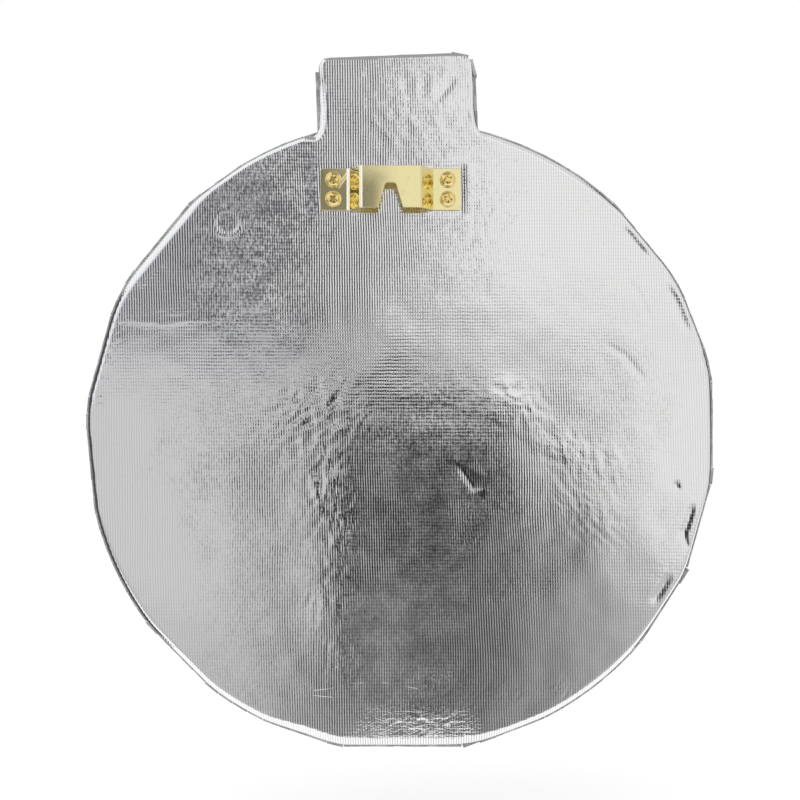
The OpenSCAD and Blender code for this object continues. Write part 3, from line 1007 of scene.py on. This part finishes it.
def hanger_piece(brass, finishes):
    """The hanger with its hard edges rounded, its flat faces kept flat and a finish of its own underneath."""
    bm = solid_copy("hanger")
    shared = [edge for edge in bm.edges if len(edge.link_faces) == 2]
    hard = [edge for edge in shared if edge.calc_face_angle() > HARD_EDGE]
    rounded(bm, hard, brass.rounding, 2)
    for face in bm.faces:
        face.material_index = 1 if face.normal.y < -0.5 else 0
    piece = piece_from(bm, "hanger_plate", finishes, SHARP_PLATE)
    flat = piece.modifiers.new("flat_faces", "WEIGHTED_NORMAL")
    flat.keep_sharp = True
    flat.weight = 100
    on_the_ornament(piece, "hanger_brass", "hanger")


# Half of a pan-head screw from its head's top to its point: the distance from the axis as a share of the
# head's radius, and the height as a share of the head's height, below 0 as a share of the shank's length.
SCREW_HALF = (
    *((0.0, 1.0), (0.30, 0.985), (0.55, 0.92), (0.70, 0.80), (0.79, 0.62), (0.82, 0.50)),
    *((0.86, 0.44), (0.92, 0.44), (0.975, 0.38), (1.0, 0.28), (1.0, 0.0)),
    *((0.45, 0.0), (0.45, -0.80), (0.0, -1.0)),
)
SCREW_STEPS = 48
# How far each screw's cross is turned, in degrees.
CROSS_TURNS = (20.0, 52.0, 35.0, 68.0)
# Half of the width of a cross's arm as a share of its length, and the size of its floor as a share of its mouth.
CROSS_ARM, CROSS_FLOOR = 0.26, 0.34


def screw_places():
    """Each screw of the CAD model: its box, and the height of the plate that its head sits on."""
    bm = solid_copy("hanger_screws")
    places = []
    for body in islands(bm):
        points = np.array([vertex.co for face in body for vertex in face.verts])
        low, high = points.min(0), points.max(0)
        middle = (low + high) / 2
        radius = (high[0] - low[0]) / 2
        from_axis = np.hypot(points[:, 0] - middle[0], points[:, 2] - middle[2])
        seat = points[from_axis > 0.9 * radius, 1].min()
        places.append((Vector((middle[0], seat, middle[2])), radius, high[1] - seat, seat - low[1]))
    bm.free()
    return places


def screw_body(bm, seat, radius, head, shank):
    """One screw, its half spun round its axis."""
    line = []
    for out, up in SCREW_HALF:
        line.append(bm.verts.new(seat + Vector((out * radius, up * (head if up >= 0 else shank), 0))))
    edges = [bm.edges.new(pair) for pair in zip(line[:-1], line[1:])]
    spin = {"axis": (0, 1, 0), "angle": math.tau, "steps": SCREW_STEPS, "use_merge": True}
    bmesh.ops.spin(bm, geom=line + edges, cent=seat, **spin)


def cross_body(bm, seat, head, brass, turn):
    """A tapered cross that cuts one screw's recess."""
    arm = brass.recess / 2
    half = CROSS_ARM * arm
    made = bmesh.ops.create_grid(bm, x_segments=3, y_segments=3, size=arm)["verts"]
    for vertex in made:
        for axis in (0, 1):
            if abs(vertex.co[axis]) < 0.9 * arm:
                vertex.co[axis] = math.copysign(half, vertex.co[axis])
    faces = {face for vertex in made for face in vertex.link_faces}
    corners = [face for face in faces if min(abs(part) for part in face.calc_center_median()[:2]) > half]
    bmesh.ops.delete(bm, geom=corners, context="FACES")
    top = [face for face in faces if face.is_valid]
    grown = bmesh.ops.extrude_face_region(bm, geom=top)["geom"]
    floor_verts = [part for part in grown if isinstance(part, bmesh.types.BMVert)]
    verts = list({vertex for face in top if face.is_valid for vertex in face.verts} | set(floor_verts))
    depth = brass.recess_depth
    bmesh.ops.scale(bm, vec=(CROSS_FLOOR, CROSS_FLOOR, 1.0), verts=floor_verts)
    bmesh.ops.translate(bm, vec=(0, 0, -2 * depth), verts=floor_verts)
    bmesh.ops.translate(bm, vec=(0, 0, depth), verts=verts)
    bmesh.ops.rotate(bm, matrix=Matrix.Rotation(math.radians(turn), 3, "Z"), verts=verts)
    bmesh.ops.rotate(bm, matrix=Matrix.Rotation(math.radians(-90), 3, "X"), verts=verts)
    bmesh.ops.translate(bm, vec=seat + Vector((0, head, 0)), verts=verts)


def closed(bm):
    """Merges a mesh and turns its faces outwards."""
    bmesh.ops.remove_doubles(bm, verts=bm.verts, dist=SAME_PLACE)
    bmesh.ops.recalc_face_normals(bm, faces=bm.faces)
    return bm


def screw_piece(brass, finish):
    """Four pan-head screws with cut cross recesses."""
    bodies, crosses = bmesh.new(), bmesh.new()
    for (seat, radius, head, shank), turn in zip(screw_places(), CROSS_TURNS):
        screw_body(bodies, seat, radius, head, shank)
        cross_body(crosses, seat, head, brass, turn)
    piece = piece_from(closed(bodies), "pan_screws", [finish])
    cutter = piece_from(closed(crosses), "cross_cutter", [finish])
    cut = piece.modifiers.new("recesses", "BOOLEAN")
    cut.operation = "DIFFERENCE"
    cut.solver = "EXACT"
    cut.object = cutter
    shown = piece.evaluated_get(bpy.context.evaluated_depsgraph_get())
    mesh = bpy.data.meshes.new_from_object(shown)
    piece.modifiers.clear()
    piece.data = mesh
    mesh.shade_smooth()
    mesh.set_sharp_from_angle(angle=math.radians(SHARP_SCREW))
    bpy.data.objects.remove(cutter)
    on_the_ornament(piece, "screw_brass", "hanger_screws")


# Operators


class ORNAMENT_OT_finish_board(bpy.types.Operator):
    """Give the board its fibres"""

    bl_idname = "ornament.finish_board"
    bl_label = "Finish Board"

    def execute(self, context):
        board = NODES["core_board"]
        board.data.materials.clear()
        board.data.materials.append(board_finish(context.scene.ornament_board))
        return {"FINISHED"}


class ORNAMENT_OT_lay_foil(bpy.types.Operator):
    """Stretch the foil over the board's back and sides"""

    bl_idname = "ornament.lay_foil"
    bl_label = "Lay Foil"

    def execute(self, context):
        piece, size, area = foil_piece(context.scene.ornament_foil)
        on_the_ornament(piece, "foil", "foil_cover")
        return {"FINISHED"}


class ORNAMENT_OT_set_tiles(bpy.types.Operator):
    """Set the mirror tiles on the front, the rim and the neck"""

    bl_idname = "ornament.set_tiles"
    bl_label = "Set Tiles"

    def execute(self, context):
        tiles = context.scene.ornament_tiles
        finishes = [mirror_finish(tiles), cut_glass_finish(tiles), backing_finish(tiles)]
        rows = (
            ("mirror_front", FRONT_ROWS, forwards, tiles.tilt),
            ("mirror_rim", RIM_STRIPS, away_from_ball, tiles.rim_tilt),
            ("mirror_neck", ["neck_strip"], away_from_ball, tiles.rim_tilt),
        )
        for seed, (name, nodes, outward_of, lean) in enumerate(rows, tiles.seed):
            tile_piece(name, nodes, tiles, finishes, outward_of, lean, seed)
        return {"FINISHED"}


class ORNAMENT_OT_fit_hanger(bpy.types.Operator):
    """Fit the brass hanger and drive its screws"""

    bl_idname = "ornament.fit_hanger"
    bl_label = "Fit Hanger"

    def execute(self, context):
        brass = context.scene.ornament_brass
        plate = brass_finish("brass_plate", brass, brass.plate, ROLLED, 0.04)
        screw = brass_finish("brass_screw", brass, brass.screw, TURNED, 0.07)
        under = brass_finish("brass_underside", brass, brass.plate, ROLLED, 0.90)
        hanger_piece(brass, [plate, under])
        screw_piece(brass, screw)
        return {"FINISHED"}


class ORNAMENT_OT_set_stage(bpy.types.Operator):
    """Set up the floor, the studio cards, the light and the camera"""

    bl_idname = "ornament.set_stage"
    bl_label = "Set Stage"

    def execute(self, context):
        stage = context.scene.ornament_stage
        light_room(context.scene, stage)
        floor(stage)
        back_card(stage)
        front_card()
        side_cards()
        aim_camera(context.scene, stage)
        return {"FINISHED"}


class ORNAMENT_PT_panel(bpy.types.Panel):
    """Pieces of the ornament, with their sizes and colours"""

    bl_idname = "ORNAMENT_PT_panel"
    bl_label = "Flat Mirrored Ornament"
    bl_space_type = "VIEW_3D"
    bl_region_type = "UI"
    bl_category = "Ornament"

    def draw(self, context):
        for made in OPERATORS:
            self.layout.operator(made.bl_idname)
        for name, group in SETTINGS.items():
            box = self.layout.box()
            box.label(text=group.__doc__)
            for field in group.__annotations__:
                box.prop(getattr(context.scene, name), field)


# Stage

# The lamp's width and length, its power, where it hangs and where it points.
LAMP_SIZE, LAMP_POWER = (1.6, 1.0), 9.0
LAMP_PLACE, LAMP_AIM = Vector((0.3, 0.7, 1.0)), Vector((0, 0, -0.1))
# The floor's corner, its width and depth, and its level of white in the light.
FLOOR_CORNER, FLOOR_SIZE, FLOOR_WHITE = (-1.5, -1.5), (3.0, 1.65), 1.06


def light_room(scene, stage):
    """A white room for the camera and for reflections, a plain level for matt surfaces."""
    scene.view_settings.view_transform = "Standard"
    room = Finish("white_room", "worlds")
    scene.world = room.material
    seen = room.node("ShaderNodeLightPath", output="Is Camera Ray")
    for ray in ("Is Glossy Ray", "Is Transmission Ray"):
        seen = seen.at_least(room.node("ShaderNodeLightPath", output=ray))
    strength = room.node("ShaderNodeMapRange", {}, {"Value": seen, "To Min": stage.daylight})
    light = room.node("ShaderNodeBackground", {}, {"Color": (1, 1, 1, 1), "Strength": strength})
    room.node("ShaderNodeOutputWorld", {}, {"Surface": light})

    lamp = bpy.data.lights.new("ceiling_softbox", "AREA")
    lamp.shape = "RECTANGLE"
    lamp.size, lamp.size_y = LAMP_SIZE
    lamp.energy = LAMP_POWER
    hung = bpy.data.objects.new("ceiling_softbox", lamp)
    hung.location = LAMP_PLACE
    hung.rotation_euler = (LAMP_AIM - LAMP_PLACE).to_track_quat("-Z", "Y").to_euler()
    hung.visible_glossy = False
    scene.collection.objects.link(hung)


def stage_plane(name, corner, right, up, material):
    """A flat stage card from one corner and two sides."""
    bm = bmesh.new()
    bmesh.ops.create_grid(bm, x_segments=1, y_segments=1, size=0.5)
    corner, right, up = Vector(corner), Vector(right), Vector(up)
    for vertex in bm.verts:
        vertex.co = corner + right * (vertex.co.x + 0.5) + up * (vertex.co.y + 0.5)
    card = piece_from(bm, name, [material])
    return card


def only_in_reflections(card):
    """A card that lights nothing and that the camera doesn't see."""
    for ray in ("camera", "diffuse", "shadow", "transmission"):
        setattr(card, f"visible_{ray}", False)


def floor(stage):
    """The pale floor: part of its white is its own, so that it keeps only a soft shadow."""
    finish = Finish("pale_floor")
    glow = tuple(FLOOR_WHITE - part for part in stage.floor)
    material = finish.surface(
        Base_Color=stage.floor,
        Roughness=1.0,
        Specular_IOR_Level=0.0,
        Emission_Color=glow,
        Emission_Strength=1.0,
    )
    level = CAD_BOX[0].z - stage.floor_drop
    width, depth = FLOOR_SIZE
    stage_plane("floor", (*FLOOR_CORNER, level), (width, 0, 0), (0, depth, 0), material)


def glow_only(finish, level):
    """A card that shines with a grey level."""
    return finish.shown(finish.node("ShaderNodeEmission", {}, {"Color": level, "Strength": 1.0}))


# Grey levels of the studio behind the camera, and the tints of its light.
POOL_LEVEL, WINDOW_LEVEL, CORNER_LEVEL = 0.015, 0.95, 0.10
WARM, COOL = (1.0, 0.995, 0.985), (0.985, 0.985, 1.03)
# Its two cards: name, where each one starts across and its width; then their distance, foot and height.
BACK_CARDS = (("studio_back", 0.62, 1.24), ("studio_wing", 2.2, 1.58))
BACK_AWAY, BACK_FOOT, BACK_HEIGHT = 0.66, -0.75, 1.05


def back_card(stage):
    """Studio behind the camera: a light on each side of a dark pool, and a window far up on the left.

    Places are in metres from where the camera aims, to the right and up as the camera sees them.
    """
    finish = Finish("studio_back")
    place = finish.place()
    across = (finish.axis(place, "X") - stage.aim_across) * -1.0
    up = finish.axis(place, "Z") - stage.aim_up

    low_right = (across + up.at_least(-0.075) * 0.5).rise(0.022, 0.178)
    low_right = low_right.towards(across.rise(-0.05, 0.28), up.rise(-0.08, -0.14))
    bridge = up.within((150, 160, 190, 200)) * across.within((-85, -70))
    top_right = across.rise(-0.088, 0.004).towards(across.rise(-0.020, -0.006), bridge)
    right = low_right.towards(top_right, up.rise(0.050, 0.100))
    right_level = up.rise(-0.19, -0.06) * 0.27 + up.rise(0.06, 0.12) * 0.04 + 0.57

    top_left = across.rise(-0.145, -0.215) * 0.55 + bridge * 0.19 + up.rise(0.20, 0.22) * 0.09 + 0.06
    low_left = up.rise(-0.09, -0.21) * -0.10 + 0.64
    left_level = top_left.towards(low_left, up.rise(0.095, 0.030))

    pool_edge = (across + up.rise(-0.085, -0.055) * 0.012).rise(-0.122, 0.0)
    pool = (up - across * 0.35).rise(0.052, 0.008) * pool_edge * (1.0 - right)
    pool_level = up.rise(-0.19, -0.24) * 0.08 + POOL_LEVEL
    window = across.rise(-0.34, -0.38) * up.rise(0.05, 0.08)
    corner = across.rise(-0.80, -0.95) * up.within((185, 205, 350, 370))
    level = left_level.towards(right_level, right).towards(pool_level, pool)
    level = level.towards(WINDOW_LEVEL, window).towards(CORNER_LEVEL, corner)

    tint = finish.blend(up.rise(0.0, 0.09) * across.rise(0.0, -0.06), WARM, COOL)
    tinting = {"data_type": "RGBA", "blend_type": "MULTIPLY"}
    shade = finish.node("ShaderNodeMix", tinting, {0: 1.0, 6: tint, 7: level}, output=2)
    material = glow_only(finish, shade)
    for name, side, width in BACK_CARDS:
        foot = (side, BACK_AWAY, BACK_FOOT)
        only_in_reflections(stage_plane(name, foot, (-width, 0, 0), (0, 0, BACK_HEIGHT), material))


# The front studio's bands: pitch of the broad and the fine ones, and how far they slant.
BROAD_BAND, FINE_BAND, BAND_SLANT = 0.42, 0.13, 0.25


def front_card():
    """Studio before the mirror front: light and dark bands."""
    finish = Finish("studio_front")
    place = finish.place()
    across = finish.axis(place, "X") + finish.axis(place, "Z") * BAND_SLANT
    bands = (across * (math.tau / BROAD_BAND)).sine().rise(-0.35, 0.45)
    fine = (across * (math.tau / FINE_BAND) + 1.0).sine() * 0.08
    material = glow_only(finish, bands * 0.70 + fine + 0.16)
    corner = (-0.9, -0.42, CAD_BOX[0].z - 0.02)
    only_in_reflections(stage_plane("studio_front", corner, (1.8, 0, 0), (0, 0, 1.2), material))


# Plain cards round the ornament: name, a corner, two sides and grey level.
SIDE_CARDS = (
    ("left_flag", (0.155, 0.02, -0.2355), (0, -0.52, 0), (0, 0, 0.2305), 0.08),
    ("right_flag", (-0.163, -0.02, -0.2355), (0, -0.48, 0), (0, 0, 0.355), 0.10),
    ("right_card", (-0.62, 0.66, -0.75), (0, -1.26, 0), (0, 0, 1.75), 0.78),
    ("right_ceiling", (0.0, 0.66, 0.50), (0, -1.26, 0), (-0.62, 0, 0), 0.78),
    ("top_flag", (-0.045, 0.10, 0.085), (0, -0.30, 0), (0.09, 0, 0), 0.38),
)


def side_cards():
    """Flags and cards at the sides, which the rolled edge and the brass bends show as lines."""
    for name, corner, right, up, level in SIDE_CARDS:
        material = glow_only(Finish(name), (level, level, level, 1))
        only_in_reflections(stage_plane(name, corner, right, up, material))


def aim_camera(scene, stage):
    """The camera straight behind the ornament, a little below its middle."""
    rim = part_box("rim_strip_1")[1].y
    target = Vector((stage.aim_across, rim, stage.aim_up))
    data = bpy.data.cameras.new("camera")
    data.sensor_width = 36.0
    data.lens = data.sensor_width * stage.distance / stage.view_width
    data.clip_start = 0.01
    camera = bpy.data.objects.new("camera", data)
    back = Vector((0, math.cos(stage.elevation), math.sin(stage.elevation)))
    camera.location = target + back * stage.distance
    camera.rotation_euler = (-back).to_track_quat("-Z", "Y").to_euler()
    scene.collection.objects.link(camera)
    scene.camera = camera


OPERATORS = (
    ORNAMENT_OT_finish_board,
    ORNAMENT_OT_lay_foil,
    ORNAMENT_OT_set_tiles,
    ORNAMENT_OT_fit_hanger,
    ORNAMENT_OT_set_stage,
)
CLASSES = (*SETTINGS.values(), *OPERATORS, ORNAMENT_PT_panel)


def register():
    for made in CLASSES:
        bpy.utils.register_class(made)
    for name, group in SETTINGS.items():
        setattr(bpy.types.Scene, name, PointerProperty(type=group))


def unregister():
    for name in SETTINGS:
        delattr(bpy.types.Scene, name)
    for made in reversed(CLASSES):
        bpy.utils.unregister_class(made)


def main():
    register()
    bpy.ops.ornament.finish_board()
    bpy.ops.ornament.lay_foil()
    bpy.ops.ornament.set_tiles()
    bpy.ops.ornament.fit_hanger()
    bpy.ops.ornament.set_stage()


if __name__ == "__main__":
    main()
